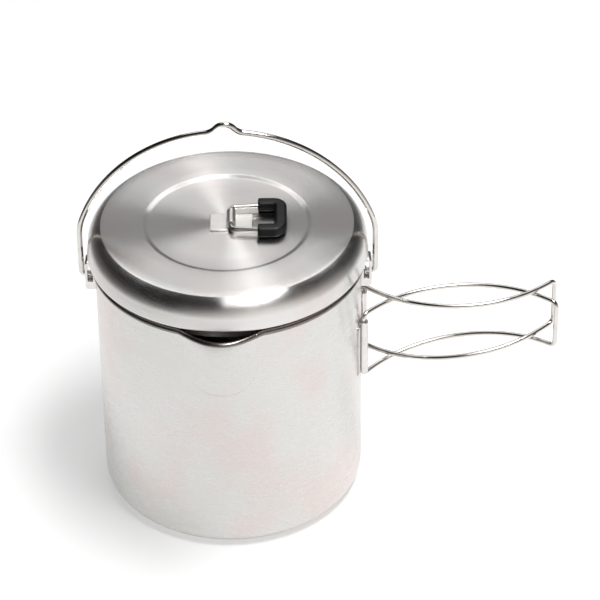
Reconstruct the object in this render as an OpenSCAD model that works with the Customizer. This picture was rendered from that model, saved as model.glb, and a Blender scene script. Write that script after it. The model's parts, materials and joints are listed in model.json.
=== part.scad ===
// Camping pot with a lift-off lid, a wire bail and two folding wire side handles.
// Origin: centre of the flat base. +Z is up, -Y is the spout side, +X is the handle side.

/* [Pot] */
// Outside diameter of the pot wall
pot_d = 132; // [120:1:150]
// Height of the rim's top above the base
rim_h = 135.2; // [130:1:150]
// Thickness of the pot's sheet
wall = 0.8; // [0.6:0.1:1.2]
// Thickness of the flat base
base_t = 1; // [0.8:0.1:2]
// Outside radius between wall and base
corner_r = 8.7; // [5:0.1:12]
// Diameter of the rolled rim bead
bead_d = 3; // [2.4:0.1:3.6]

/* [Spout] */
// How far the spout's tip stands out from the wall
spout_out = 7.9; // [4:0.1:9]
// Half of the angle that the spout takes at the rim
spout_half_angle = 18.4; // [14:0.2:24]
// Height at which the spout's swelling fades into the wall
spout_foot = 106; // [100:1:115]
// Turn of the spout about the pot's axis
spout_turn = -2.4; // [-4:0.1:4]

/* [Lid] */
// Thickness of the lid's sheet
lid_t = 0.8; // [0.6:0.1:1.2]
// Height of the lid's flat top above the rim
lid_rise = 18.2; // [14:0.2:20]
// Gap between the rim and the lid's resting face
lid_gap = 0.05; // [0:0.05:0.5]
// Radius of the lid's sunken centre panel
panel_r = 39.3; // [30:0.1:45]
// Depth of the sunken centre panel
panel_depth = 0.8; // [0.6:0.1:1.5]
// Lean of the lid's skirt from vertical
skirt_lean = 6; // [4:1:16]

/* [Lid ring] */
// Diameter of the lid ring's wire
ring_wire_d = 2.1; // [1.8:0.1:2.4]
// Distance from the lid ring's hinge to its far outer edge
ring_reach = 27.4; // [22:0.2:32]
// Width of the rubber grip across the lid ring
grip_w = 27.9; // [24:0.1:32]
// Width of the rubber grip's band
grip_band = 6; // [5:0.1:6.4]
// Height of the rubber grip
grip_h = 5.6; // [5:0.1:6.4]
// Length of the strap that holds the lid ring
strap_len = 20.7; // [16:0.1:24]
// Width of the strap that holds the lid ring
strap_w = 14.1; // [12:0.1:16]

/* [Bail] */
// Diameter of the bail's wire
bail_wire_d = 2.8; // [2.4:0.1:3.2]
// Height of the bail's pivots above the base
pivot_h = 123.4; // [118:0.2:128]
// Half of the distance between the bail's legs
bail_half_w = 72.8; // [72:0.1:76]

/* [Side handles] */
// Diameter of the side handles' wire
loop_wire_d = 2.4; // [2:0.1:2.6]
// Distance of each hinge axis from the middle of the bracket
hinge_y = 10.6; // [9:0.1:13]
// Angle that each handle's arc turns through
loop_turn = 85; // [76:0.5:88]
// Direction of each handle's chord when it is opened out
loop_lean = 1.75; // [0:0.05:4]
// Height of the front handle's upper wire at the hinge
upper_h = 103.2; // [100:0.2:106]
// Height of the front handle's lower wire at the hinge
lower_h = 66; // [62:0.2:70]
// Rise of the upper wire for each millimetre of reach
upper_slope = 0.04; // [0:0.01:0.1]
// Rise of the lower wire for each millimetre of reach
lower_slope = 0.15; // [0.1:0.01:0.2]
// How much higher the rear handle's upper wire is than the front one's
upper_step = 3; // [2.9:0.1:3.6]
// How much higher the rear handle's lower wire is than the front one's
lower_step = 3.8; // [3.6:0.1:4.4]

/* [Hidden] */

$fn = 64;
running = 0.08;                        // radial clearance of every pin in its bore
through = 1;                           // how far a cut runs past a face
sunk = 0.1;                            // how far one solid starts inside another
hair = 0.01;                           // how much thinner one rod is than the next

// Pot
pot_r = pot_d / 2;
bead_r = bead_d / 2;
bead_z = rim_h - bead_r;
bead_path_r = pot_r + 0.6;             // radius of the bead's centre line
spout_axis = -90 + spout_turn;
spout_steps = 16;
spout_levels = 7;
spout_root_r = pot_r - 6;              // the spout solids reach this far in
spout_sunk = 0.3;                      // how far they lie inside the wall beside the spout
foot_share = 0.45;                     // spout's width at its foot over its width at the rim

// Lid
hem_over = 2.05;                       // hem's underside above the flange's bend
lid_seat = rim_h + lid_gap;
lid_under = lid_seat + hem_over;
lid_top = rim_h + lid_rise;
panel_z = lid_top - panel_depth;
step_w = 2.3;                          // width of the slope round the sunken panel
crease_r = 61.96;                      // where the flat top ends in a crease
crease_angle = 22;                     // the shoulder's slope just outside the crease
shoulder_r = 11;
hem_r = 1.2;
hem_z = lid_under + hem_r;
plug_r = pot_r - wall - 0.5;           // outside of the flange that sits inside the pot
plug_depth = 5.8;
plug_bend = 0.9;

// Lid ring
ring_x = 2;                            // hinge axis of the lid ring
ring_z = panel_z + grip_h / 2 + 0.3;
ring_r = ring_wire_d / 2;
ring_half = 9.2;                       // half width of the ring at its hinge
ring_far_half = 10.95;                 // half width of the ring inside the grip
ring_far_x = ring_x + ring_reach - grip_band / 2;
ring_bend = 2.4;
ring_far_bend = 4;
grip_start = ring_x + 13.1;
grip_far = ring_x + ring_reach;
grip_corner = 6.5;
strap_t = 0.8;
arch_half = 5.6;                       // half length of the arch along the hinge axis
arch_wall = 1.1;
arch_bore = ring_r + running;

// Bail: its half runs from the pin up the leg, over the arch and into the hook's peak
bail_r = bail_wire_d / 2;
pin_bend = 1.9;
leg_rise = 28.3;                       // from the pivot to the first corner of the arch
leg_bend = 29;
arch_in = 17.9;                        // arch's second corner, inward of the leg
arch_rise = 76.2;                      // and above the pivot
arch_bend = 75;
kink_half = 6.5;                       // half width of the hook kink
kink_rise = 82.4;
kink_bend = 7.6;
peak_rise = 89.85;
peak_bend = 5.9;
pin_end = 68.5;                        // inner end of each bail pin
head_d = 4.4;
head_t = 0.9;

// Ears of the bail
ear_w = 8;
ear_t = 1;
ear_out = bail_half_w - pin_bend;      // outer face of an ear, where the pin is straight
ear_foot = 116.4;
ear_top = 131.9;
window_foot = 120.8;
window_in = pot_r + 1;
ear_round = 1.5;

// Side handles
loop_r = loop_wire_d / 2;
hinge_r = pot_r + 1.6;                 // distance of the hinge axes from the pot's axis
hinge_x = sqrt(pow(hinge_r, 2) - pow(hinge_y, 2));
loop_bend_r = hinge_r + 0.2;           // an opened-out arc fits round the pot when folded
lead = 3.2;                            // straight stretch at each end of the arc
arc_tangent = loop_bend_r * tan(loop_turn / 2) + lead;
start_dir = loop_lean + loop_turn / 2;
end_dir = loop_lean - loop_turn / 2;
loop_corner = [arc_tangent * cos(start_dir), arc_tangent * sin(start_dir)];
loop_end = loop_corner + arc_tangent * [cos(end_dir), sin(end_dir)];
pin_len = 10;
lower_bend = 2;
upper_bend = 3;
end_bend = 3;
barrel_r = 2.45;
barrel_bore = loop_r + running;
barrel_foot = lower_h + lower_bend + 0.2;
barrel_top = upper_h - upper_bend - 0.8;
plate_t = 0.8;
flange_foot = barrel_foot + 0.8;
flange_angle = 5.4;                    // angle that a flange reaches past its hinge
flange_thin = 0.05;                    // how much thinner a flange is than the web
flange_lap = 1.2;                      // and the angle that it reaches short of it
flange_drop = 0.6;                     // how far a flange's top lies below its barrel's
web_foot = flange_foot + lower_step;
web_top = barrel_top - 0.3;

// Unit vector along v
function unit(v) = v / norm(v);

// Rotation and shift that put the x, y and z axes on three given directions
function place(at, x, y, z) = [[x[0], y[0], z[0], at[0]],
                               [x[1], y[1], z[1], at[1]],
                               [x[2], y[2], z[2], at[2]],
                               [0, 0, 0, 1]];

// A direction square to v
function square_to(v) = unit(abs(v[2]) < 0.9 ? cross([0, 0, 1], v) : cross([1, 0, 0], v));

// Turn at corner i of a run of points
function turn_at(p, i) = acos(max(-1, min(1, unit(p[i] - p[i - 1]) * unit(p[i + 1] - p[i]))));

// Length that the bend at corner i takes from each side of it
function tangent_at(p, bends, i) =
    i == 0 || i == len(p) - 1 ? 0 : bends[i] * tan(turn_at(p, i) / 2);

// Straight round rod from a to b, run on by start and end
module rod(a, b, r, start, end) {
    dir = unit(b - a);
    side = square_to(dir);
    multmatrix(place(a - dir * start, side, cross(dir, side), dir))
        cylinder(h = norm(b - a) + start + end, r = r, $fn = 32);
}

// Bend of radius bend_r at point p, from direction d1 to direction d2
module elbow(p, d1, d2, bend_r, r) {
    turn = acos(d1 * d2);
    inward = unit(d2 - d1 * (d1 * d2));
    start = p - d1 * bend_r * tan(turn / 2);
    multmatrix(place(start + inward * bend_r, -inward, d1, cross(-inward, d1)))
        rotate_extrude(angle = turn, $fn = 96)
            translate([bend_r, 0])
                circle(r = r, $fn = 32);
}

// Wire of radius r through the points p, with a bend radius for each point. Each
// straight stretch is a hair thinner than the bends and starts a little inside them.
module wire(p, bends, r) {
    last = len(p) - 2;
    for (i = [0 : last]) {
        dir = unit(p[i + 1] - p[i]);
        rod(p[i] + dir * tangent_at(p, bends, i),
            p[i + 1] - dir * tangent_at(p, bends, i + 1),
            r - hair, i == 0 ? 0 : sunk, i == last ? 0 : sunk);
    }
    for (i = [1 : len(p) - 2])
        elbow(p[i], unit(p[i] - p[i - 1]), unit(p[i + 1] - p[i]), bends[i], r);
}

// Points of an arc about a centre, from angle a0 to a1
function arc(centre, r, a0, a1, steps = 10) =
    [for (i = [0 : steps]) centre + r * [cos(a0 + (a1 - a0) * i / steps),
                                         sin(a0 + (a1 - a0) * i / steps)]];

// ---- Pot ----

// How far the spout stands out at angle a from its middle and share s of its height
function spout_swell(a, s) =
    let (half = spout_half_angle * (foot_share + (1 - foot_share) * s))
    abs(a) >= half ? 0 : spout_out * pow(s, 3) * pow(cos(90 * a / half), 1.3);

// Point of the spout's surface over a wall of radius r
function spout_point(r, i, j, top) =
    let (a = spout_half_angle * (2 * i / spout_steps - 1),
         s = j / spout_levels,
         out = r - spout_sunk + spout_swell(a, s))
    [out * cos(a), out * sin(a), spout_foot + (top - spout_foot) * s];

// Solid that fills the spout out to a wall of radius r
module spout_solid(r, top) {
    row = spout_steps + 1;
    skin = [for (j = [0 : spout_levels]) for (i = [0 : spout_steps])
                spout_point(r, i, j, top)];
    back = [for (j = [0, spout_levels]) for (side = [-1, 1])
                [spout_root_r * cos(side * spout_half_angle),
                 spout_root_r * sin(side * spout_half_angle),
                 j == 0 ? spout_foot : top]];
    n = len(skin);
    last = spout_levels * row;
    front_faces = [for (j = [0 : spout_levels - 1]) for (i = [0 : spout_steps - 1])
        for (half = [0, 1])
            let (a = j * row + i)
            half == 0 ? [a, a + row, a + row + 1] : [a, a + row + 1, a + 1]];
    foot_face = [concat([for (i = [0 : spout_steps]) i], [n + 1, n])];
    top_face = [concat([for (i = [spout_steps : -1 : 0]) last + i], [n + 2, n + 3])];
    left_face = concat([[last, n, n + 2]],
                       [for (j = [0 : spout_levels - 1]) [(j + 1) * row, j * row, n]]);
    right_face = concat([[last + spout_steps, n + 3, n + 1]],
                        [for (j = [0 : spout_levels - 1])
                            [j * row + spout_steps, (j + 1) * row + spout_steps, n + 1]]);
    back_face = [[n, n + 1, n + 3, n + 2]];
    rotate([0, 0, spout_axis])
        polyhedron(concat(skin, back),
                   concat(front_faces, foot_face, top_face, left_face, right_face, back_face));
}

// Rolled bead along the spout's lip, sunk at both ends into the round rim's bead
module spout_bead() {
    sides = 12;
    steps = 28;
    over = 1;
    r = bead_r - 0.02;
    span = spout_half_angle + over;
    function lip(a) = let (out = bead_path_r + spout_swell(a, 1)) [out * cos(a), out * sin(a), bead_z];
    function along(a) = unit(lip(a + 0.1) - lip(a - 0.1));
    rings = [for (i = [0 : steps])
        let (a = -span + 2 * span * i / steps,
             dir = along(a),
             out = cross(dir, [0, 0, 1]))
        for (k = [0 : sides - 1])
            lip(a) + r * (out * cos(360 * k / sides) + [0, 0, 1] * sin(360 * k / sides))];
    walls = [for (i = [0 : steps - 1]) for (k = [0 : sides - 1])
        let (a = i * sides + k, b = i * sides + (k + 1) % sides)
        [a, b, b + sides, a + sides]];
    tris = [for (q = walls) for (half = [0, 1])
        half == 0 ? [q[0], q[1], q[2]] : [q[0], q[2], q[3]]];
    start_face = [[for (k = [sides - 1 : -1 : 0]) k]];
    end_face = [[for (k = [0 : sides - 1]) steps * sides + k]];
    rotate([0, 0, spout_axis])
        polyhedron(rings, concat(tris, start_face, end_face));
}

// Upright pot outline: a cylinder with a rounded foot, standing on height foot
module pot_outline(r, foot, round_r, top) {
    rotate_extrude($fn = 96)
        union() {
            translate([0, foot])
                square([r - round_r, top - foot]);
            translate([0, foot + round_r])
                square([r, top - foot - round_r]);
            translate([r - round_r, foot + round_r])
                circle(r = round_r);
        }
}

module pot_body() {
    color("gainsboro") {
        difference() {
            union() {
                pot_outline(pot_r, 0, corner_r, bead_z);
                spout_solid(pot_r, bead_z);
            }
            pot_outline(pot_r - wall, base_t, corner_r - wall, bead_z + through);
            spout_solid(pot_r - wall, bead_z + through);
        }
        rotate([0, 0, spout_axis + spout_half_angle])
            rotate_extrude(angle = 360 - 2 * spout_half_angle, $fn = 96)
                translate([bead_path_r, bead_z])
                    circle(r = bead_r, $fn = 32);
        spout_bead();
    }
}

// ---- Lid ----

// Outline of one side of the lid's sheet, set in from the outside by inset
function lid_side(inset) =
    let (top = lid_top - inset,
         slip = inset * 0.4,
         shoulder = [crease_r - shoulder_r * sin(crease_angle),
                     lid_top - shoulder_r * cos(crease_angle)],
         crease = asin((shoulder_r * cos(crease_angle) - inset) / (shoulder_r - inset)),
         hem_x = shoulder[0] + (shoulder_r - hem_r) * cos(skirt_lean)
                 + (shoulder[1] + (shoulder_r - hem_r) * sin(skirt_lean) - hem_z)
                   * tan(skirt_lean))
    concat([[0, top - panel_depth],
            [panel_r + slip, top - panel_depth],
            [panel_r + step_w + slip, top]],
           arc(shoulder, shoulder_r - inset, crease, skirt_lean),
           arc([hem_x, hem_z], hem_r - inset, skirt_lean, -90),
           arc([plug_r + plug_bend, lid_seat - plug_bend], plug_bend + inset, 90, 180),
           [[plug_r - inset, lid_under - plug_depth]]);

module lid() {
    inside = lid_side(lid_t);
    color("silver")
        rotate_extrude($fn = 96)
            polygon(concat(lid_side(0),
                           [for (i = [len(inside) - 1 : -1 : 0]) inside[i]]));
}

// Sheet strap on the lid, with an arch in its middle that holds the ring
module lid_ring_strap() {
    color("silver")
        difference() {
            union() {
                translate([ring_x - strap_len / 2, -strap_w / 2, panel_z])
                    cube([strap_len, strap_w, strap_t]);
                translate([ring_x, arch_half, ring_z])
                    rotate([90, 0, 0])
                        cylinder(h = 2 * arch_half, r = arch_bore + arch_wall);
                translate([ring_x - arch_bore - arch_wall, -arch_half, panel_z])
                    cube([2 * (arch_bore + arch_wall), 2 * arch_half, ring_z - panel_z]);
            }
            translate([ring_x, strap_w, ring_z])
                rotate([90, 0, 0])
                    cylinder(h = 2 * strap_w, r = arch_bore);
            translate([ring_x - arch_bore, -strap_w, panel_z - through])
                cube([2 * arch_bore, 2 * strap_w, ring_z - panel_z + through]);
        }
}

// Points of the lid ring's wire: two in-turned ends meet in the arch
ring_points = [[ring_x, 0.3, ring_z], [ring_x, ring_half, ring_z],
               [ring_far_x, ring_far_half, ring_z], [ring_far_x, -ring_far_half, ring_z],
               [ring_x, -ring_half, ring_z], [ring_x, -0.3, ring_z]];
ring_bends = [0, ring_bend, ring_far_bend, ring_far_bend, ring_bend, 0];

module lid_ring() {
    color("silver")
        wire(ring_points, ring_bends, ring_r);
}

// Rubber grip moulded round the far end of the lid ring
module lid_ring_grip() {
    half_w = grip_w / 2;
    color([0.12, 0.12, 0.12])
        difference() {
            translate([0, 0, ring_z - grip_h / 2])
                linear_extrude(grip_h)
                    difference() {
                        union() {
                            translate([grip_start, -half_w])
                                square([grip_far - grip_start - grip_corner, grip_w]);
                            translate([grip_start, -half_w + grip_corner])
                                square([grip_far - grip_start, grip_w - 2 * grip_corner]);
                            for (side = [-1, 1])
                                translate([grip_far - grip_corner, side * (half_w - grip_corner)])
                                    circle(r = grip_corner);
                        }
                        translate([grip_start - through, -half_w + grip_band])
                            square([grip_far - grip_start - grip_band + through,
                                    grip_w - 2 * grip_band]);
                    }
            wire(ring_points, ring_bends, ring_r);
        }
}

// ---- Bail and its ears ----

module bail() {
    half = [[pin_end, 0, 0], [bail_half_w, 0, 0], [bail_half_w, 0, leg_rise],
            [bail_half_w - arch_in, 0, arch_rise], [kink_half, 0, kink_rise]];
    half_bends = [0, pin_bend, leg_bend, arch_bend, kink_bend];
    points = concat(half, [[0, 0, peak_rise]],
                    [for (i = [4 : -1 : 0]) [-half[i][0], 0, half[i][2]]]);
    bends = concat(half_bends, [peak_bend], [for (i = [4 : -1 : 0]) half_bends[i]]);
    color("silver")
        translate([0, 0, pivot_h]) {
            wire(points, bends, bail_r);
            for (side = [-1, 1])
                translate([side * pin_end - (side < 0 ? 0 : head_t), 0, 0])
                    rotate([0, 90, 0])
                        cylinder(h = head_t, r = head_d / 2);
        }
}

// Folded sheet ear on the +X side, with a window above and a bore for the bail's pin
module ear() {
    color("gainsboro")
        difference() {
            translate([0, ear_w / 2, 0])
                rotate([90, 0, 0])
                    linear_extrude(ear_w)
                        difference() {
                            union() {
                                translate([pot_r - through, ear_foot])
                                    square([ear_out - pot_r + through - ear_round,
                                            ear_top - ear_foot]);
                                translate([pot_r - through, ear_foot + ear_round])
                                    square([ear_out - pot_r + through,
                                            ear_top - ear_foot - 2 * ear_round]);
                                for (z = [ear_foot + ear_round, ear_top - ear_round])
                                    translate([ear_out - ear_round, z])
                                        circle(r = ear_round);
                            }
                            translate([window_in, window_foot])
                                square([ear_out - ear_t - window_in,
                                        ear_top - ear_t - window_foot]);
                        }
            translate([0, 0, ear_foot - through])
                cylinder(h = ear_top - ear_foot + 2 * through, r = pot_r, $fn = 96);
            translate([window_in + through, 0, pivot_h])
                rotate([0, 90, 0])
                    cylinder(h = ear_out - pot_r, r = bail_r + running);
        }
}

module bail_ear_right() {
    ear();
}

module bail_ear_left() {
    mirror([1, 0, 0])
        ear();
}

// ---- Side handles ----

// Curved plate that starts inside the pot, from angle a0 to a1 and from height z0 to z1
module curved_plate(a0, a1, z0, z1, t) {
    rotate([0, 0, a0])
        translate([0, 0, z0])
            rotate_extrude(angle = a1 - a0, $fn = 96)
                translate([pot_r - plate_t, 0])
                    square([plate_t + t, z1 - z0]);
}

// One pressed sheet: a web and two flanges on the pot, and a barrel round each hinge axis
module handle_bracket() {
    hinge_angle = asin(hinge_y / hinge_r);
    cut_h = barrel_top - barrel_foot + upper_step + 2 * through;
    color("gainsboro")
        difference() {
            union() {
                curved_plate(-hinge_angle, hinge_angle, web_foot, web_top, plate_t);
                for (side = [-1, 1]) {
                    foot_step = side < 0 ? 0 : lower_step;
                    top_step = side < 0 ? 0 : upper_step;
                    near = side * (hinge_angle - flange_lap);
                    reach = side * (hinge_angle + flange_angle);
                    curved_plate(min(near, reach), max(near, reach), flange_foot + foot_step,
                                 barrel_top - flange_drop + top_step, plate_t - flange_thin);
                    translate([hinge_x, side * hinge_y, barrel_foot + foot_step])
                        cylinder(h = barrel_top - barrel_foot + top_step - foot_step,
                                 r = barrel_r);
                }
            }
            rotate([0, 0, 180])
                translate([0, 0, barrel_foot - through])
                    cylinder(h = cut_h, r = pot_r, $fn = 96);
            for (side = [-1, 1])
                translate([hinge_x, side * hinge_y, barrel_foot - through])
                    cylinder(h = cut_h, r = barrel_bore);
        }
}

// Wire loop that hinges at the front barrel when side is -1 and at the rear when it is 1
module handle_loop(side) {
    upper = upper_h + (side < 0 ? 0 : upper_step);
    lower = lower_h + (side < 0 ? 0 : lower_step);
    function at(xy, z, slope) = [hinge_x + xy[0], side * (hinge_y - xy[1]), z + slope * xy[0]];
    hinge = [0, 0];
    points = [at(hinge, upper - pin_len, 0),
              at(hinge, upper, upper_slope),
              at(loop_corner, upper, upper_slope),
              at(loop_end, upper, upper_slope),
              at(loop_end, lower, lower_slope),
              at(loop_corner, lower, lower_slope),
              at(hinge, lower, lower_slope),
              at(hinge, lower + pin_len, 0)];
    wire(points,
         [0, upper_bend, loop_bend_r, end_bend, end_bend, loop_bend_r, lower_bend, 0],
         loop_r);
}

module handle_front() {
    color("silver")
        handle_loop(-1);
}

module handle_rear() {
    color("silver")
        handle_loop(1);
}

pot_body();
lid();
lid_ring_strap();
lid_ring();
lid_ring_grip();
bail();
bail_ear_right();
bail_ear_left();
handle_bracket();
handle_front();
handle_rear();
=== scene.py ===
"""Camping pot with a lift-off lid, an upright wire bail and two folding wire side handles."""
import json
import math

import bpy
from mathutils import Matrix, Vector


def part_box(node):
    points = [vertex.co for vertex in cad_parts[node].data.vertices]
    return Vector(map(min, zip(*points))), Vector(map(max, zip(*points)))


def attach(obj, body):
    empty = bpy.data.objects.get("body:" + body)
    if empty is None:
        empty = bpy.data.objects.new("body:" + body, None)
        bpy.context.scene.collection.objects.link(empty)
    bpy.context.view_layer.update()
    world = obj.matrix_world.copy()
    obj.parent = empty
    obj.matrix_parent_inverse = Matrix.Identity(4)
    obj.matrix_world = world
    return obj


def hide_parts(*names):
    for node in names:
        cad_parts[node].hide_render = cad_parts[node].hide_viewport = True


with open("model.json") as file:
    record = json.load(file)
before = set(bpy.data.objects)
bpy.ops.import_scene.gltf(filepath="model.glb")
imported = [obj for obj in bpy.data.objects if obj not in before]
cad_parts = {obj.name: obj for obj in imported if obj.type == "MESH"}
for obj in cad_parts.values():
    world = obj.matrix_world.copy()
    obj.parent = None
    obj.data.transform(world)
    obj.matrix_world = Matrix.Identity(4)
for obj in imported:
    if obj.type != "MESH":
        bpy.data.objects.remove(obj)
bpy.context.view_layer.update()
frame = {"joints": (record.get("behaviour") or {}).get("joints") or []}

MM = 0.001
JOINTS = {joint["name"]: joint for joint in frame["joints"]}

# ---- Sizes in metres, from the frame and from the metal's own thicknesses ----

pot_low, pot_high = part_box("pot_body")
lid_low, lid_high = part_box("lid")
ear_low, ear_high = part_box("bail_ear_right")
strap_low, strap_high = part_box("lid_ring_strap")
grip_low, grip_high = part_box("lid_ring_grip")

WALL = 0.8 * MM
BEAD = 1.5 * MM                        # radius of the rolled rim bead
BEAD_OUT = 0.6 * MM                    # bead's centre line, outward of the wall
POT_R = pot_high[0] - BEAD - BEAD_OUT
RIM_Z = pot_high[2]
BEAD_Z = RIM_Z - BEAD
CORNER_R = 8.7 * MM                    # rounding between the base and the wall
BASE_T = 1.0 * MM
BASE_FLAT_R = POT_R - CORNER_R - 12 * MM
WALL_ROWS = (30 * MM, 55 * MM, 80 * MM)

SPOUT_ANGLE = math.radians(-92.4)      # pouring lip's direction round Z
SPOUT_HALF = math.radians(18.4)        # half of its angle at the rim
SPOUT_FOOT_SHARE = 0.45                # part of that angle left at its foot
SPOUT_FOOT_Z = 106 * MM
SPOUT_OUT = 7.9 * MM                   # how far it stands out at the rim
SPOUT_ROWS = 26
PRESSING_Z = 114 * MM                  # centre of the pressing's round outline below the lip
PRESSING_R = 17.8 * MM
PRESSING_LINE = 0.7 * MM               # half width of that outline

LID_TOP = lid_high[2]
LID_SEAT = RIM_Z + 0.05 * MM           # where the lid sits on the rim bead
LID_UNDER = LID_SEAT + 2.05 * MM       # foot of the hem
PANEL_R = 39.3 * MM
PANEL_DEPTH = 0.8 * MM
CREASE_R = 61.96 * MM                  # where the flat top ends in a crease
CREASE_ANGLE = math.radians(22)        # slope straight after the crease
SHOULDER_R = 11 * MM
HEM_R = 1.2 * MM
SKIRT_LEAN = math.radians(6)           # outward lean of the side below the shoulder
PLUG_R = POT_R - WALL - 0.5 * MM       # flange that sits inside the pot
PLUG_Z = lid_low[2]
PLUG_BEND = 0.9 * MM


# ---- Small geometry helpers ----

def arc(centre_x, centre_z, radius, start, end, steps=10):
    """Points of an arc in the r-z plane, with angles in degrees."""
    points = []
    for i in range(steps + 1):
        angle = math.radians(start + (end - start) * i / steps)
        points.append((centre_x + radius * math.cos(angle), centre_z + radius * math.sin(angle)))
    return points


def add_piece(name, verts, faces, material, body, nodes=(), slot="wire", sharp=35):
    """Adds a mesh that rides on a body, stands for CAD nodes and is smooth below an angle."""
    mesh = bpy.data.meshes.new(name)
    mesh.from_pydata([tuple(v) for v in verts], [], faces)
    mesh.validate()
    mesh.materials.append(material)
    for polygon in mesh.polygons:
        polygon.use_smooth = True
    mesh.set_sharp_from_angle(angle=math.radians(sharp))
    piece = bpy.data.objects.new(name, mesh)
    bpy.context.collection.objects.link(piece)
    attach(piece, body)
    if nodes:
        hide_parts(*nodes)
    return piece


def lathe(profile, steps, swell=None):
    """Vertices and faces of a profile in the r-z plane turned about Z."""
    verts = []
    rings = []
    for radius, z in profile:
        if radius < 1e-7:
            rings.append([len(verts)] * steps)
            verts.append((0, 0, z))
            continue
        ring = []
        for k in range(steps):
            angle = 2 * math.pi * k / steps
            out = radius + (swell(angle, z) if swell else 0)
            ring.append(len(verts))
            verts.append((out * math.cos(angle), out * math.sin(angle), z))
        rings.append(ring)
    faces = []
    for lower, upper in zip(rings, rings[1:]):
        for k in range(steps):
            j = (k + 1) % steps
            quad = [lower[k], lower[j], upper[j], upper[k]]
            face = []
            for index in quad:
                if index not in face:
                    face.append(index)
            if len(face) > 2:
                faces.append(face)
    return verts, faces


def wire_path(points, bends, step):
    """Centre line through the points, with a bend radius at each, as evenly fine points."""
    points = [Vector(p) for p in points]
    last = len(points) - 1
    cut = [0.0] * len(points)
    for i in range(1, last):
        before = (points[i] - points[i - 1]).normalized()
        after = (points[i + 1] - points[i]).normalized()
        cut[i] = bends[i] * math.tan(before.angle(after) / 2)
    line = []
    for i in range(last):
        along = (points[i + 1] - points[i]).normalized()
        start = points[i] + along * cut[i]
        end = points[i + 1] - along * cut[i + 1]
        count = max(1, round((end - start).length / step))
        line += [start.lerp(end, k / count) for k in range(count)]
        if i + 1 == last:
            line.append(end)
            break
        after = (points[i + 2] - points[i + 1]).normalized()
        turn = along.angle(after)
        inward = (after - along * along.dot(after)).normalized()
        centre = end + inward * bends[i + 1]
        count = max(4, round(bends[i + 1] * turn / step))
        for k in range(count):
            angle = turn * k / count
            line.append(centre - inward * bends[i + 1] * math.cos(angle)
                        + along * bends[i + 1] * math.sin(angle))
    return line


def sweep(line, section, up=(0, 0, 1), end_round=0.0):
    """Sweeps a closed section of (across, up) pairs along a line, with closed and eased ends."""
    count = len(section)
    tangents = []
    for i in range(len(line)):
        ahead = line[min(i + 1, len(line) - 1)]
        behind = line[max(i - 1, 0)]
        tangents.append((ahead - behind).normalized())
    normal = Vector(up)
    verts = []

    def ring(centre, tangent, scale):
        nonlocal normal
        normal = (normal - tangent * normal.dot(tangent)).normalized()
        side = tangent.cross(normal)
        for across, height in section:
            verts.append(centre + (side * across + normal * height) * scale)

    eased = [(0.0, 0.55), (0.12, 0.8), (0.45, 0.96)] if end_round else []
    for reach, scale in eased:
        ring(line[0] + tangents[0] * end_round * reach, tangents[0], scale)
    inner = range(1, len(line) - 1) if end_round else range(len(line))
    for i in inner:
        ring(line[i], tangents[i], 1)
    for reach, scale in reversed(eased):
        ring(line[-1] - tangents[-1] * end_round * reach, tangents[-1], scale)
    rings = len(verts) // count
    faces = []
    for i in range(rings - 1):
        for k in range(count):
            j = (k + 1) % count
            faces.append((i * count + k, (i + 1) * count + k, (i + 1) * count + j, i * count + j))
    faces.append(tuple(range(count)))
    faces.append(tuple((rings - 1) * count + k for k in reversed(range(count))))
    return verts, faces


def round_section(radius, sides=20):
    return [(radius * math.cos(2 * math.pi * k / sides), radius * math.sin(2 * math.pi * k / sides))
            for k in range(sides)]


def extrude_outline(outline, axis_from, axis_to):
    """Prism of an x-z outline between two y values, outline counter-clockwise seen from -Y."""
    count = len(outline)
    verts = [(x, axis_from, z) for x, z in outline] + [(x, axis_to, z) for x, z in outline]
    faces = [tuple(range(count)), tuple(range(2 * count - 1, count - 1, -1))]
    for k in range(count):
        j = (k + 1) % count
        faces.append((k, count + k, count + j, j))
    return verts, faces


def join_parts(parts):
    """One vertex list and face list from several."""
    verts = []
    faces = []
    for part_verts, part_faces in parts:
        start = len(verts)
        verts += list(part_verts)
        faces += [tuple(start + index for index in face) for face in part_faces]
    return verts, faces


def bevel(piece, width, segments=3, angle=30):
    modifier = piece.modifiers.new("edges", "BEVEL")
    modifier.width = width
    modifier.segments = segments
    modifier.limit_method = "ANGLE"
    modifier.angle_limit = math.radians(angle)


# ---- Materials ----

RING_STRETCH = 0.004                   # a brush line's width against its length
ROUGH_SPREAD = 0.07
BEAD_PAINTED_SHADE = (0.36, 0.33, 0.31)        # painted shade: darkening of the pot's rim bead, where the lid's hem overhangs it
PRESSING_RIDGE = 0.12 * MM


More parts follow.
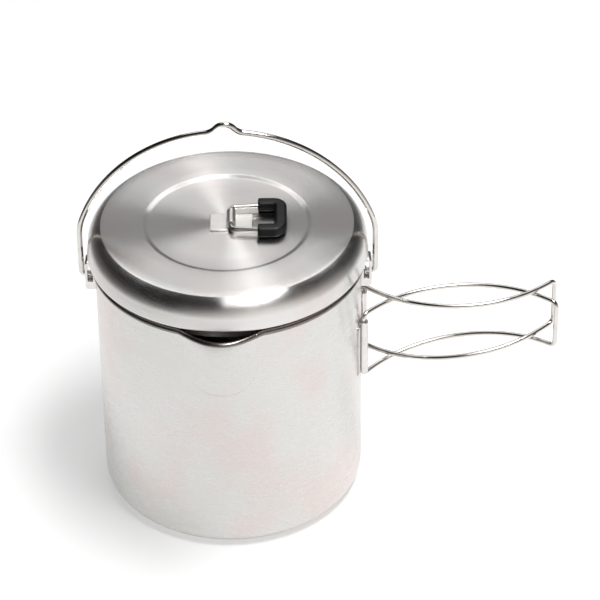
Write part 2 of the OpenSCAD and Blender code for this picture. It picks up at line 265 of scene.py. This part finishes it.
class Nodes:
    """Short calls for building the node tree of a material or a world."""

    def __init__(self, owner):
        owner.use_nodes = True
        self.owner = owner
        self.tree = owner.node_tree
        self.shader = self.tree.nodes.get("Principled BSDF")

    def add(self, kind, **settings):
        node = self.tree.nodes.new(kind)
        for key, value in settings.items():
            setattr(node, key, value)
        return node

    def link(self, source, target):
        self.tree.links.new(source, target)

    def math(self, operation, first, second=None):
        node = self.add("ShaderNodeMath", operation=operation)
        for socket, value in zip(node.inputs, (first, second)):
            if value is None:
                continue
            if isinstance(value, (int, float)):
                socket.default_value = value
            else:
                self.link(value, socket)
        return node.outputs[0]

    def coordinates(self, kind="Object"):
        return self.add("ShaderNodeTexCoord").outputs[kind]

    def split(self, vector):
        """The x, y and z of a vector."""
        node = self.add("ShaderNodeSeparateXYZ")
        self.link(vector, node.inputs[0])
        return node.outputs

    def length(self, first, second):
        """Root of the sum of two squares."""
        squares = [self.math("MULTIPLY", side, side) for side in (first, second)]
        return self.math("SQRT", self.math("ADD", *squares))

    def noise(self, vector, scale, detail):
        node = self.add("ShaderNodeTexNoise")
        node.inputs["Scale"].default_value = scale
        node.inputs["Detail"].default_value = detail
        self.link(vector, node.inputs["Vector"])
        return node.outputs["Fac"]

    def ramp(self, value, stops):
        node = self.add("ShaderNodeValToRGB")
        self.link(value, node.inputs["Fac"])
        elements = node.color_ramp.elements
        while len(elements) < len(stops):
            elements.new(0.5)
        for element, (position, colour) in zip(elements, stops):
            element.position = position
            element.color = (*colour, 1)
        return node.outputs["Color"]

    def span(self, value, low, high):
        """Maps 0..1 to low..high."""
        node = self.add("ShaderNodeMapRange")
        self.link(value, node.inputs["Value"])
        node.inputs["To Min"].default_value = low
        node.inputs["To Max"].default_value = high
        return node.outputs["Result"]

    def bump(self, height, distance, strength=1.0, normal=None):
        node = self.add("ShaderNodeBump")
        node.inputs["Distance"].default_value = distance
        node.inputs["Strength"].default_value = strength
        self.link(height, node.inputs["Height"])
        if normal is not None:
            self.link(normal, node.inputs["Normal"])
        return node.outputs["Normal"]


def ring_coordinates(nodes, along_scale):
    """Coordinates that run slowly round the Z axis, and fast across it and up it."""
    place = nodes.coordinates()
    x, y, z = nodes.split(place)
    radius = nodes.length(x, y)
    safe = nodes.math("MAXIMUM", radius, 1 * MM)
    joined = nodes.add("ShaderNodeCombineXYZ")
    nodes.link(nodes.math("MULTIPLY", nodes.math("DIVIDE", x, safe), along_scale), joined.inputs[0])
    nodes.link(nodes.math("MULTIPLY", nodes.math("DIVIDE", y, safe), along_scale), joined.inputs[1])
    nodes.link(nodes.math("ADD", radius, z), joined.inputs[2])
    return place, joined.outputs[0]


def lip_outline(nodes, place):
    """Ridge of the pressing's U-shaped outline on the wall under the lip, as a 0..1 height."""
    x, y, z = nodes.split(place)
    across = nodes.math("ADD", nodes.math("MULTIPLY", x, -math.sin(SPOUT_ANGLE)),
                        nodes.math("MULTIPLY", y, math.cos(SPOUT_ANGLE)))
    below = nodes.math("MINIMUM", nodes.math("SUBTRACT", z, PRESSING_Z), 0)
    miss = nodes.math("ABSOLUTE", nodes.math("SUBTRACT", nodes.length(across, below), PRESSING_R))
    line = nodes.add("ShaderNodeMapRange", interpolation_type="SMOOTHSTEP")
    nodes.link(miss, line.inputs["Value"])
    line.inputs["From Min"].default_value = PRESSING_LINE
    line.inputs["From Max"].default_value = 0
    front = nodes.math("LESS_THAN", y, 0)
    return nodes.math("MULTIPLY", line.outputs["Result"], front)


def turned_steel(name, colour, warm, rough, anisotropy, groove, lip=False):
    """Sheet brushed in rings round the Z axis, with faint warm stains and handling marks.

    With a lip, its rim bead is darkened with painted shade and the lip's pressing leaves its
    outline on the wall."""
    nodes = Nodes(bpy.data.materials.new(name))
    place, rings = ring_coordinates(nodes, RING_STRETCH)
    stains = nodes.noise(place, 24, 5)
    green = (colour[0] * 0.985, colour[1] * 0.995, colour[2] * 0.98)
    tint = nodes.ramp(stains, [(0.34, green), (0.47, colour), (0.60, warm)])
    if lip:
        # painted shade: the rim bead is darkened from just above its foot upward, standing in for
        # the shade under the lid's hem
        height = nodes.math("SUBTRACT", nodes.split(place)[2], BEAD_Z - BEAD)
        height_mm = nodes.math("MULTIPLY", height, 1 / MM)
        painted_bead_shade = nodes.ramp(height_mm, [(0, (1, 1, 1)), (0.5, BEAD_PAINTED_SHADE)])
        joined = nodes.add("ShaderNodeMix", data_type="RGBA", blend_type="MULTIPLY")
        joined.inputs["Factor"].default_value = 1
        nodes.link(tint, joined.inputs["A"])
        nodes.link(painted_bead_shade, joined.inputs["B"])
        tint = joined.outputs["Result"]
    nodes.link(tint, nodes.shader.inputs["Base Color"])
    nodes.shader.inputs["Metallic"].default_value = 1
    nodes.shader.inputs["Anisotropic"].default_value = anisotropy
    nodes.shader.inputs["Anisotropic Rotation"].default_value = 0.25
    tangent = nodes.add("ShaderNodeTangent", direction_type="RADIAL", axis="Z")
    nodes.link(tangent.outputs[0], nodes.shader.inputs["Tangent"])
    fine = nodes.noise(rings, 2600, 3)
    coarse = nodes.noise(rings, 420, 2)
    marks = nodes.noise(place, 130, 5)
    worn = nodes.math("ADD", nodes.math("MULTIPLY", fine, 0.5),
                      nodes.math("ADD", nodes.math("MULTIPLY", coarse, 0.3),
                                 nodes.math("MULTIPLY", marks, 0.2)))
    nodes.link(nodes.span(worn, rough - ROUGH_SPREAD, rough + ROUGH_SPREAD),
               nodes.shader.inputs["Roughness"])
    lines = nodes.bump(fine, groove, 0.35)
    surface = nodes.bump(coarse, groove * 2, 0.25, lines)
    if lip:
        surface = nodes.bump(lip_outline(nodes, place), PRESSING_RIDGE, 1, surface)
    nodes.link(surface, nodes.shader.inputs["Normal"])
    return nodes.owner


def satin_steel(name, colour, rough, grain):
    """Small pressed or drawn steel, with fine straight grain and soft dents."""
    nodes = Nodes(bpy.data.materials.new(name))
    place = nodes.coordinates()
    stretch = nodes.add("ShaderNodeMapping")
    stretch.inputs["Scale"].default_value = grain
    nodes.link(place, stretch.inputs["Vector"])
    fine = nodes.noise(stretch.outputs[0], 900, 3)
    cloud = nodes.noise(place, 160, 3)
    tint = nodes.ramp(cloud, [(0.35, colour), (0.7, [0.9 * c for c in colour])])
    nodes.link(tint, nodes.shader.inputs["Base Color"])
    nodes.shader.inputs["Metallic"].default_value = 1
    both = nodes.math("ADD", nodes.math("MULTIPLY", fine, 0.6), nodes.math("MULTIPLY", cloud, 0.4))
    nodes.link(nodes.span(both, rough * 0.6, rough * 1.5), nodes.shader.inputs["Roughness"])
    nodes.link(nodes.bump(fine, 0.02 * MM, 0.3), nodes.shader.inputs["Normal"])
    return nodes.owner


def black_rubber(name):
    """Moulded rubber with a fine matt grain and a little dust."""
    nodes = Nodes(bpy.data.materials.new(name))
    place = nodes.coordinates()
    grain = nodes.noise(place, 2200, 3)
    dust = nodes.noise(place, 260, 4)
    tint = nodes.ramp(dust, [(0.4, (0.004, 0.004, 0.004)), (0.75, (0.012, 0.012, 0.013))])
    nodes.link(tint, nodes.shader.inputs["Base Color"])
    nodes.link(nodes.span(grain, 0.3, 0.55), nodes.shader.inputs["Roughness"])
    nodes.shader.inputs["Specular IOR Level"].default_value = 0.35
    nodes.link(nodes.bump(grain, 0.04 * MM, 0.4), nodes.shader.inputs["Normal"])
    return nodes.owner


POT_STEEL = turned_steel("pot_steel", (0.68, 0.672, 0.655), (0.69, 0.635, 0.615),
                         rough=0.28, anisotropy=0.5, groove=0.016 * MM, lip=True)
LID_STEEL = turned_steel("lid_steel", (0.76, 0.75, 0.735), (0.76, 0.72, 0.70),
                         rough=0.24, anisotropy=0.95, groove=0.012 * MM)
WIRE_STEEL = satin_steel("wire_steel", (0.74, 0.715, 0.68), rough=0.13, grain=(1, 1, 1))
PRESSED_STEEL = satin_steel("pressed_steel", (0.76, 0.74, 0.72), rough=0.2, grain=(1, 1, 0.06))
STRAP_STEEL = satin_steel("strap_steel", (0.93, 0.91, 0.88), rough=0.36, grain=(1, 0.06, 1))
RUBBER = black_rubber("grip_rubber")


# ---- Pot ----

def spout_swell(angle, z):
    """How far the pouring lip stands out of the round wall."""
    share = min(1, max(0, (z - SPOUT_FOOT_Z) / (BEAD_Z - SPOUT_FOOT_Z)))
    half = SPOUT_HALF * (SPOUT_FOOT_SHARE + (1 - SPOUT_FOOT_SHARE) * share)
    offset = abs((angle - SPOUT_ANGLE + math.pi) % (2 * math.pi) - math.pi)
    if offset >= half:
        return 0.0
    return SPOUT_OUT * share ** 3 * math.cos(math.pi / 2 * offset / half) ** 1.3


def make_pot():
    """One sheet: base, wall, rolled rim bead and the hollow's side, with the lip swelled out."""
    inner_r = POT_R - WALL
    tuck = math.degrees(math.asin(BEAD_OUT / BEAD))
    rows = list(WALL_ROWS)
    rows += [SPOUT_FOOT_Z + (BEAD_Z - SPOUT_FOOT_Z) * i / SPOUT_ROWS for i in range(SPOUT_ROWS)]
    outer = [(0, 0), (BASE_FLAT_R, 0)] + arc(POT_R - CORNER_R, CORNER_R, CORNER_R, -90, 0, 14)
    outer += [(POT_R, z) for z in rows]
    bead = arc(POT_R + BEAD_OUT, BEAD_Z, BEAD, -90 - tuck, 190, 26)
    inner = [(inner_r, z) for z in reversed(rows)]
    inner += arc(POT_R - CORNER_R, CORNER_R + BASE_T - WALL, CORNER_R - WALL, 0, -90, 14)
    inner += [(BASE_FLAT_R, BASE_T), (0, BASE_T)]
    verts, faces = lathe(outer + bead + inner, 480, spout_swell)
    add_piece("pot_sheet", verts, faces, POT_STEEL, "pot", ["pot_body"], "pot_sheet", 50)


# ---- Lid ----

STEP_FOOT = ((-0.5, 0), (0, 0.03), (0.35, 0.1))       # mm outward of PANEL_R, mm up
STEP_HEAD = ((1.95, -0.1), (2.3, -0.03), (2.8, 0))    # the same, from the flat top
CREASE_EDGE = ((-0.9, 0), (-0.85, -0.005), (-0.1, -0.1))    # the same, from CREASE_R


def lid_side(inset):
    """Outline of one side of the lid's sheet, set in from the outside."""
    top = LID_TOP - inset
    panel = top - PANEL_DEPTH
    lean = math.degrees(SKIRT_LEAN)
    step_r = PANEL_R + inset * 0.4
    shoulder_x = CREASE_R - SHOULDER_R * math.sin(CREASE_ANGLE)
    shoulder_z = LID_TOP - SHOULDER_R * math.cos(CREASE_ANGLE)
    crease = math.asin((SHOULDER_R * math.cos(CREASE_ANGLE) - inset) / (SHOULDER_R - inset))
    hem_x = (shoulder_x + (SHOULDER_R - HEM_R) * math.cos(SKIRT_LEAN)
             + (shoulder_z + (SHOULDER_R - HEM_R) * math.sin(SKIRT_LEAN)
                - LID_UNDER - HEM_R) * math.tan(SKIRT_LEAN))
    points = [(radius, panel) for radius in (0, 18 * MM, 30 * MM)]
    points += [(step_r + out * MM, panel + up * MM) for out, up in STEP_FOOT]
    points += [(step_r + out * MM, top + up * MM) for out, up in STEP_HEAD]
    points += [(radius, top) for radius in (48 * MM, 56 * MM)]
    points += [(CREASE_R + out * MM, top + up * MM) for out, up in CREASE_EDGE]
    points += arc(shoulder_x, shoulder_z, SHOULDER_R - inset, math.degrees(crease) - 1.5, lean, 24)
    points += arc(hem_x, LID_UNDER + HEM_R, HEM_R - inset, lean, -90, 12)
    points += arc(PLUG_R + PLUG_BEND, LID_SEAT - PLUG_BEND, PLUG_BEND + inset, 90, 180, 8)
    points += [(PLUG_R - inset, PLUG_Z + 1 * MM), (PLUG_R - inset, PLUG_Z)]
    return points


def make_lid():
    """One sheet: sunken panel, step, flat top, shoulder, hem and flange."""
    profile = lid_side(WALL) + list(reversed(lid_side(0)))
    verts, faces = lathe(profile, 360)
    add_piece("lid_sheet", verts, faces, LID_STEEL, "lid", ["lid"], "lid_sheet", 14)


# ---- Lid ring, its strap and its grip ----

RING_PIVOT = Vector(JOINTS["lid_ring_flip"]["pos_m"])
RING_R = 1.05 * MM                     # radius of the ring's wire
RING_HALF_NEAR = 9.2 * MM              # half the ring's width at the strap
RING_HALF_FAR = 10.95 * MM             # and inside the grip
RING_GAP = 0.3 * MM                    # half the gap between the wire's ends in the arch
WIRE_PLAY = 0.08 * MM
ARCH_BORE = RING_R + WIRE_PLAY
ARCH_OUT = ARCH_BORE + 1.1 * MM
ARCH_HALF = 5.6 * MM
STRAP_T = 0.8 * MM
GRIP_BAND = 6 * MM                     # width of the rubber round the wire


def make_strap():
    """A folded strap: two feet on the lid, and an arch rolled up between them."""
    x0, z0 = RING_PIVOT[0], RING_PIVOT[2]
    foot_z = strap_low[2]
    feet = []
    for side in (-1, 1):
        inner = ARCH_BORE * 1.02
        reach = (strap_high[0] - strap_low[0]) / 2
        outline = [(x0 + side * inner, foot_z), (x0 + side * reach, foot_z),
                   (x0 + side * reach, foot_z + STRAP_T), (x0 + side * inner, foot_z + STRAP_T)]
        if side < 0:
            outline.reverse()
        feet.append(extrude_outline(outline, strap_low[1], strap_high[1]))
    piece = add_piece("ring_strap_feet", *join_parts(feet), STRAP_STEEL, "lid",
                      ["lid_ring_strap"], "bracket_sheet")
    bevel(piece, 0.25 * MM)
    arch = [(x0 + ARCH_OUT, foot_z)] + arc(x0, z0, ARCH_OUT, 0, 180, 28)
    arch += [(x0 - ARCH_OUT, foot_z), (x0 - ARCH_BORE, foot_z)]
    arch += arc(x0, z0, ARCH_BORE, 180, 0, 24) + [(x0 + ARCH_BORE, foot_z)]
    piece = add_piece("ring_strap_arch", *extrude_outline(arch, -ARCH_HALF, ARCH_HALF),
                      STRAP_STEEL, "lid", ["lid_ring_strap"], "bracket_sheet", 25)
    bevel(piece, 0.2 * MM, 2, 40)


def make_ring():
    """The ring's wire, with both ends in the arch and its far side inside the grip."""
    x0, z0 = RING_PIVOT[0], RING_PIVOT[2]
    far_x = grip_high[0] - GRIP_BAND / 2
    points = [(x0, RING_GAP, z0), (x0, RING_HALF_NEAR, z0), (far_x, RING_HALF_FAR, z0),
              (far_x, -RING_HALF_FAR, z0), (x0, -RING_HALF_NEAR, z0), (x0, -RING_GAP, z0)]
    bends = [0, 2.4 * MM, 4 * MM, 4 * MM, 2.4 * MM, 0]
    line = wire_path(points, bends, 0.5 * MM)
    add_piece("ring_wire", *sweep(line, round_section(RING_R), end_round=RING_R), WIRE_STEEL,
              "lid_ring", ["lid_ring"])


def grip_section(width, height, corner):
    """Rounded rectangle with a fine mould line half way up each side."""
    points = []
    for cx, cz, start in ((1, 1, 0), (-1, 1, 90), (-1, -1, 180), (1, -1, 270)):
        points += arc(cx * (width / 2 - corner), cz * (height / 2 - corner), corner,
                      start, start + 90, 7)
    edge = width / 2
    proud = edge + 0.14 * MM
    return points + [(edge, -0.22 * MM), (proud, -0.06 * MM), (proud, 0.06 * MM), (edge, 0.22 * MM)]


def make_grip():
    """Rubber U moulded round the ring's far end."""
    height = grip_high[2] - grip_low[2]
    mid_z = (grip_high[2] + grip_low[2]) / 2
    half = grip_high[1] - GRIP_BAND / 2
    far_x = grip_high[0] - GRIP_BAND / 2
    ease = 0.02 * MM
    points = [(grip_low[0], half, mid_z), (far_x, half, mid_z), (far_x, -half, mid_z),
              (grip_low[0], -half, mid_z)]
    line = wire_path(points, [0, 3.6 * MM, 3.6 * MM, 0], 0.6 * MM)
    section = grip_section(GRIP_BAND - 2 * ease, height - 2 * ease, 1.7 * MM)
    add_piece("ring_grip", *sweep(line, section, end_round=0.9 * MM), RUBBER, "lid_ring",
              ["lid_ring_grip"], "rubber", 40)


# ---- Bail and its ears ----

BAIL_PIVOT_Z = JOINTS["bail_swing"]["pos_m"][2]
BAIL_R = 1.4 * MM
BAIL_HALF_W = 72.8 * MM
PIN_END = 68.5 * MM
# Corners of the wire's right half, outward and up from the pin, each with its bend radius.
BAIL_CORNERS = [(PIN_END, 0, 0), (BAIL_HALF_W, 0, 1.9 * MM), (BAIL_HALF_W, 28.3 * MM, 29 * MM),
                (54.9 * MM, 76.2 * MM, 75 * MM), (6.5 * MM, 82.4 * MM, 7.6 * MM)]
BAIL_PEAK = (0, 89.85 * MM, 5.9 * MM)
PIN_HEAD = ((0, -0.9), (1.7, -0.9), (2.05, -0.8), (2.2, -0.55), (2.2, -0.3), (2.05, -0.08),
            (1.7, 0), (0, 0))          # radius and height in mm


def make_bail():
    """The wire arch with its kink at the peak, and a flat head inside each ear."""
    left = [(-x, z, bend) for x, z, bend in reversed(BAIL_CORNERS)]
    route = BAIL_CORNERS + [BAIL_PEAK] + left
    line = wire_path([(x, 0, BAIL_PIVOT_Z + z) for x, z, _ in route],
                     [bend for _, _, bend in route], 0.9 * MM)
    parts = [sweep(line, round_section(BAIL_R, 24), up=(0, 1, 0))]
    for side in (-1, 1):
        verts, faces = lathe([(radius * MM, z * MM) for radius, z in PIN_HEAD], 32)
        turn = Matrix.Rotation(math.radians(90 * side), 4, "Y")
        shift = Matrix.Translation((side * PIN_END, 0, BAIL_PIVOT_Z))
        parts.append(([shift @ turn @ Vector(v) for v in verts], faces))
    add_piece("bail_wire", *join_parts(parts), WIRE_STEEL, "bail", ["bail"])


EAR_SHEET = 1 * MM
EAR_EASE = 0.15 * MM                   # rounding of the ear's edges
WINDOW_FOOT = 120.8 * MM


def make_ear(side, node):
    """Sheet folded into a loop on the wall: a window above, a pressed foot below."""
    width = ear_high[1] - ear_low[1]
    outer_x = ear_high[0]
    foot, top = ear_low[2], ear_high[2]
    round_r = 1.5 * MM
    wall_x = POT_R - 0.05 * MM
    window_in = POT_R + EAR_SHEET
    window_out = outer_x - EAR_SHEET
    window_top = top - EAR_SHEET
    outer = [(wall_x, foot)] + arc(outer_x - round_r, foot + round_r, round_r, -90, 0, 8)
    outer += arc(outer_x - round_r, top - round_r, round_r, 0, 90, 8) + [(wall_x, top)]
    fillet = 0.5 * MM
    hole = arc(window_in + fillet, WINDOW_FOOT + fillet, fillet, 180, 270, 4)
    hole += arc(window_out - fillet, WINDOW_FOOT + fillet, fillet, 270, 360, 4)
    hole += arc(window_out - fillet, window_top - fillet, fillet, 0, 90, 4)
    hole += arc(window_in + fillet, window_top - fillet, fillet, 90, 180, 4)
    curve = bpy.data.curves.new("ear_outline_" + node, "CURVE")
    curve.dimensions = "2D"
    curve.fill_mode = "BOTH"
    curve.extrude = width / 2 - EAR_EASE
    curve.bevel_depth = EAR_EASE
    curve.bevel_resolution = 2
    for outline in (outer, hole):
        spline = curve.splines.new("POLY")
        spline.points.add(len(outline) - 1)
        spline.use_cyclic_u = True
        for point, (x, z) in zip(spline.points, outline):
            point.co = (side * x, z, 0, 1)
    source = bpy.data.objects.new("ear_outline_" + node, curve)
    bpy.context.collection.objects.link(source)
    bpy.context.view_layer.update()
    mesh = bpy.data.meshes.new_from_object(source)
    bpy.data.objects.remove(source)
    mesh.transform(Matrix.Rotation(math.radians(90), 4, "X"))
    verts = [vertex.co.copy() for vertex in mesh.vertices]
    faces = [tuple(polygon.vertices) for polygon in mesh.polygons]
    add_piece("ear_sheet_" + ("right" if side > 0 else "left"), verts, faces, PRESSED_STEEL, "pot",
              [node], "bracket_sheet", 30)


# ---- Side handles and their bracket ----

LOOP_R = 1.2 * MM
HINGE_FRONT = Vector(JOINTS["handle_front_fold"]["pos_m"])
HINGE_REACH = math.hypot(HINGE_FRONT[0], HINGE_FRONT[1])
UPPER_Z = 103.2 * MM                   # the front loop's upper wire at the hinge
LOWER_Z = 66.0 * MM                    # and its lower wire
UPPER_STEP = 3.0 * MM                  # how much higher the rear loop's wires are
LOWER_STEP = 3.8 * MM
UPPER_SLOPE = 0.04                     # how fast the wires rise away from the hinge
LOWER_SLOPE = 0.15
LOOP_TURN = math.radians(85)           # turn of the curved part
LOOP_LEAN = math.radians(1.75)         # lean of its chord out from the middle plane
BARREL_FOOT = LOWER_Z + 2.2 * MM
BARREL_TOP = UPPER_Z - 3.8 * MM
BARREL_R = 2.45 * MM
BARREL_BORE = LOOP_R + WIRE_PLAY


def make_loop(side, body, node):
    """Wire loop hinged at the front barrel for side -1 and at the rear barrel for side 1."""
    upper = UPPER_Z + (UPPER_STEP if side > 0 else 0)
    lower = LOWER_Z + (LOWER_STEP if side > 0 else 0)
    bend = HINGE_REACH + 0.2 * MM
    reach = bend * math.tan(LOOP_TURN / 2) + 3.2 * MM
    first, last = LOOP_LEAN + LOOP_TURN / 2, LOOP_LEAN - LOOP_TURN / 2
    hinge = (0, 0)
    corner = Vector((math.cos(first), math.sin(first))) * reach
    end = corner + Vector((math.cos(last), math.sin(last))) * reach
    tail = 10 * MM

    def at(plan, z, slope=0.0):
        return (HINGE_FRONT[0] + plan[0], side * (abs(HINGE_FRONT[1]) - plan[1]),
                z + slope * plan[0])

    points = [at(hinge, upper - tail)]
    points += [at(plan, upper, UPPER_SLOPE) for plan in (hinge, corner, end)]
    points += [at(plan, lower, LOWER_SLOPE) for plan in (end, corner, hinge)]
    points += [at(hinge, lower + tail)]
    bends = [0, 3 * MM, bend, 3 * MM, 3 * MM, bend, 2 * MM, 0]
    line = wire_path(points, bends, 0.8 * MM)
    wire = sweep(line, round_section(LOOP_R, 24), up=(1, 0, 0), end_round=LOOP_R)
    add_piece(node + "_wire", *wire, WIRE_STEEL, body, [node])


def curved_sheet(start, end, low, high, inner_r, outer_r):
    """Rounded-corner patch of sheet on the pot's wall, between two angles in degrees."""
    steps = 24
    corner = 1.2 * MM
    verts = []
    faces = []
    for k in range(steps + 1):
        angle = math.radians(start + (end - start) * k / steps)
        from_edge = min(k, steps - k) / steps * math.radians(abs(end - start)) * outer_r
        cut = corner - math.sqrt(max(0, corner ** 2 - (corner - min(from_edge, corner)) ** 2))
        for radius, z in ((inner_r, low + cut), (outer_r, low + cut), (outer_r, high - cut),
                          (inner_r, high - cut)):
            verts.append((radius * math.cos(angle), radius * math.sin(angle), z))
    for k in range(steps):
        for i in range(4):
            j = (i + 1) % 4
            faces.append((4 * k + i, 4 * k + 4 + i, 4 * k + 4 + j, 4 * k + j))
    faces.append((0, 1, 2, 3))
    faces.append(tuple(4 * steps + i for i in (3, 2, 1, 0)))
    return verts, faces


def barrel(centre, low, high, outward):
    """Rolled tube with an open seam, its edge tucked against the wall."""
    steps = 44
    gap = math.radians(16)
    outer = []
    inner = []
    for k in range(steps + 1):
        angle = outward + gap / 2 + (2 * math.pi - gap) * k / steps
        outer.append((BARREL_R * math.cos(angle), BARREL_R * math.sin(angle)))
        inner.append((BARREL_BORE * math.cos(angle), BARREL_BORE * math.sin(angle)))
    ring = outer + inner[::-1]
    count = len(ring)
    verts = []
    for z in (low, high):
        for x, y in ring:
            spot = Vector((centre[0] + x, centre[1] + y))
            if spot.length < POT_R + 0.02 * MM:
                spot *= (POT_R + 0.02 * MM) / spot.length
            verts.append((spot[0], spot[1], z))
    faces = [(k, (k + 1) % count, count + (k + 1) % count, count + k) for k in range(count)]
    for k in range(steps):
        mirror = count - 1 - k
        faces.append((k + 1, k, mirror, mirror - 1))
        faces.append((count + k, count + k + 1, count + mirror - 1, count + mirror))
    return verts, faces


def make_bracket():
    """Curved web between the two barrels, a flange beyond each, and the barrels."""
    hinge_angle = math.degrees(math.asin(abs(HINGE_FRONT[1]) / HINGE_REACH))
    sheet_r = POT_R + 0.8 * MM
    flange = 5.4                       # degrees beyond the barrel
    web_low = BARREL_FOOT + 0.8 * MM + LOWER_STEP
    web = curved_sheet(-hinge_angle, hinge_angle, web_low, BARREL_TOP - 0.3 * MM,
                       POT_R + 0.01 * MM, sheet_r)
    sheets = [web]
    barrels = []
    for side in (-1, 1):
        low = LOWER_STEP if side > 0 else 0
        high = UPPER_STEP if side > 0 else 0
        near, far = side * (hinge_angle - 1.2), side * (hinge_angle + flange)
        sheets.append(curved_sheet(min(near, far), max(near, far), BARREL_FOOT + 0.8 * MM + low,
                                   BARREL_TOP - 0.6 * MM + high, POT_R + 0.01 * MM,
                                   sheet_r - 0.05 * MM))
        centre = (HINGE_FRONT[0], side * abs(HINGE_FRONT[1]))
        barrels.append(barrel(centre, BARREL_FOOT + low, BARREL_TOP + high,
                              math.radians(side * 125)))
    piece = add_piece("bracket_plate", *join_parts(sheets), PRESSED_STEEL, "pot",
                      ["handle_bracket"], "bracket_sheet", 40)
    bevel(piece, 0.15 * MM, 2, 50)
    piece = add_piece("bracket_barrels", *join_parts(barrels), PRESSED_STEEL, "pot",
                      ["handle_bracket"], "bracket_sheet", 40)
    bevel(piece, 0.18 * MM, 2, 50)


# ---- Studio ----

def softbox(name, place, target, width, depth, radiance):
    """Area light whose own brightness is given, so that metal mirrors it at that value."""
    light = bpy.data.lights.new(name, "AREA")
    light.shape = "RECTANGLE"
    light.size = width
    light.size_y = depth
    light.energy = radiance * math.pi * width * depth
    lamp = bpy.data.objects.new(name, light)
    lamp.location = place
    lamp.rotation_euler = (Vector(target) - Vector(place)).to_track_quat("-Z", "Y").to_euler()
    bpy.context.collection.objects.link(lamp)


def make_floor():
    """White table that fills the picture, with the studio's dimness beyond its edges."""
    left, right, front, back = -0.5, 0.6, -0.9, 0.75
    mesh = bpy.data.meshes.new("floor")
    mesh.from_pydata([(left, front, 0), (right, front, 0), (right, back, 0), (left, back, 0)], [],
                     [(0, 1, 2, 3)])
    floor = bpy.data.objects.new("floor", mesh)
    floor.location = (0, 0, pot_low[2] - 0.05 * MM)
    bpy.context.collection.objects.link(floor)
    nodes = Nodes(bpy.data.materials.new("white_floor"))
    nodes.shader.inputs["Base Color"].default_value = (0.9, 0.9, 0.9, 1)
    nodes.shader.inputs["Roughness"].default_value = 0.9
    nodes.shader.inputs["Specular IOR Level"].default_value = 0.1
    nodes.shader.inputs["Emission Color"].default_value = (1, 1, 1, 1)
    nodes.shader.inputs["Emission Strength"].default_value = 0.38
    mesh.materials.append(nodes.owner)


GLOW_TOWARDS = (0.58, -0.815, 0)


def make_world():
    """Dim studio: grey at the horizon, nearly black above, and a wide glow at the front right."""
    world = bpy.data.worlds.new("studio")
    bpy.context.scene.world = world
    nodes = Nodes(world)
    place = nodes.coordinates("Generated")
    height = nodes.split(place)[2]

    def warm_ramp(value, stops):
        return nodes.ramp(value, [(position, (grey, grey * 0.98, grey * 0.96))
                                  for position, grey in stops])

    dot = nodes.add("ShaderNodeVectorMath", operation="DOT_PRODUCT")
    nodes.link(place, dot.inputs[0])
    dot.inputs[1].default_value = GLOW_TOWARDS
    glow = warm_ramp(dot.outputs["Value"], [(0.2, 0), (0.8, 0.5), (1, 0.8)])
    fade = warm_ramp(height, [(0.12, 1), (0.6, 0.1)])
    base = warm_ramp(height, [(0, 0.12), (0.3, 0.012)])
    lit = nodes.add("ShaderNodeVectorMath", operation="MULTIPLY_ADD")
    for source, target in zip((glow, fade, base), lit.inputs):
        nodes.link(source, target)
    nodes.link(lit.outputs[0], nodes.tree.nodes["Background"].inputs["Color"])


def make_studio():
    make_floor()
    softbox("key", (0.31, -0.2, 1.35), (0.31, -0.2, 0), 0.34, 0.6, 16.5)
    softbox("strip", (0.16, -0.3, 1.4), (0.16, -0.3, 0), 0.45, 1.7, 1.6)
    softbox("back_strip", (0.04, 1.05, 1.4), (0.04, 1.05, 0), 1.3, 0.8, 1.9)
    softbox("back", (0, 1.7, 1.2), (0, 0, 0.15), 1.6, 0.8, 0.3)
    make_world()
    bpy.context.scene.view_settings.view_transform = "Standard"


CAMERA_PLACE = (0.03533, -1.2085, 0.99955)
CAMERA_RIGHT = Vector((0.99993, -0.00701, -0.00948))
CAMERA_UP = Vector((0.01179, 0.59487, 0.80374))


def make_camera():
    """Camera at the photograph's viewing angle and distance, with a hint of roll."""
    data = bpy.data.cameras.new("camera")
    data.lens = 180.4
    data.sensor_width = 36
    camera = bpy.data.objects.new("camera", data)
    back = CAMERA_RIGHT.cross(CAMERA_UP)
    turn = Matrix((CAMERA_RIGHT, CAMERA_UP, back)).transposed().to_4x4()
    camera.matrix_world = Matrix.Translation(CAMERA_PLACE) @ turn
    bpy.context.collection.objects.link(camera)
    bpy.context.scene.camera = camera


make_camera()
make_studio()
make_pot()
make_lid()
make_strap()
make_ring()
make_grip()
make_bail()
make_ear(1, "bail_ear_right")
make_ear(-1, "bail_ear_left")
make_bracket()
make_loop(-1, "handle_front", "handle_front")
make_loop(1, "handle_rear", "handle_rear")
